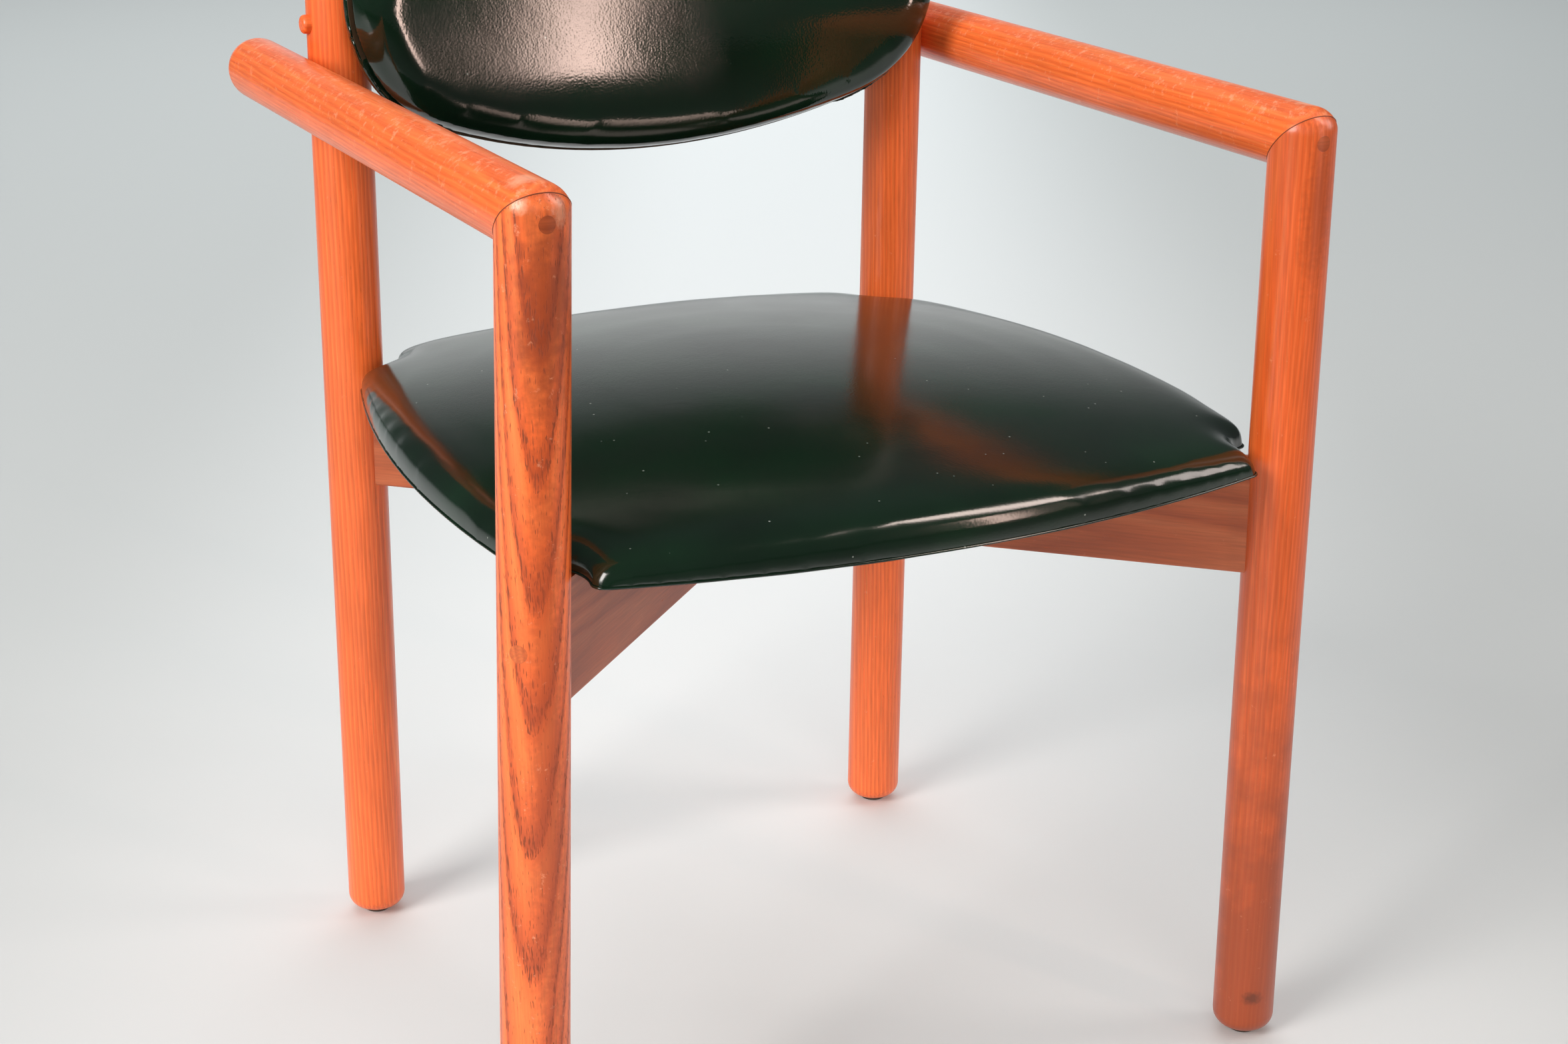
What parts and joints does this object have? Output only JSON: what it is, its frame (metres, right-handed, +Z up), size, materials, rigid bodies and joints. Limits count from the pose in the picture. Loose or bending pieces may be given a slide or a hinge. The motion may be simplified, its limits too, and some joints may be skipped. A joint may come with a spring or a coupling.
{
  "type": "armchair",
  "caption": "Open-arm chair of round timber bars with mitred arms, crossed rails under a notched domed leather seat, and an oval leather back that tilts on its posts.",
  "frame": {"origin": "middle of the bounding box on the floor", "axes": "+Z up, the sitter faces -Y, +X to the right in a view along +Y"},
  "size_m": [0.5796, 0.5594, 0.8012],
  "materials": {
    "timber": "orange stain under semi-gloss lacquer",
    "dowel": "raw beech",
    "board": "bent plywood",
    "leather": "semi-gloss, fine grain",
    "welt": "matte",
    "padding": "open foam",
    "dust_cover": "matte woven",
    "glide": "matte",
    "bush": "matte",
    "steel": "zinc plated"
  },
  "bodies": {
    "frame": {"front_leg_left": "timber", "front_leg_right": "timber", "rear_post_left": "timber", "rear_post_right": "timber", "armrest_left": "timber", "armrest_right": "timber", "cross_rail_lower": "timber", "cross_rail_upper": "timber", "foot_glides": "glide", "rail_screws": "steel", "rail_dowels": "dowel", "rail_plugs": "timber", "mitre_screws": "steel", "mitre_dowels": "dowel", "mitre_plugs": "timber", "arm_screws": "steel", "arm_plugs": "timber", "seat_cover": "leather", "seat_foam": "padding", "seat_board": "board", "seat_dust_cover": "dust_cover", "seat_screws": "steel", "pivot_bolts": "steel", "pivot_washers": "steel", "pivot_nuts": "steel", "pivot_buttons": "timber"},
    "back": {"back_cover": "leather", "back_foam": "padding", "back_board": "board", "back_rear_cover": "leather", "back_welt": "welt", "pivot_lugs": "steel", "lug_screws": "steel", "pivot_bushes": "bush"}
  },
  "joints": [
    {"name": "back_tilt", "type": "hinge", "parent": "frame", "child": "back", "pos_m": [0, 0.20975, 0.672], "axis": [1, 0, 0], "range_deg": [-3, 8]}
  ]
}
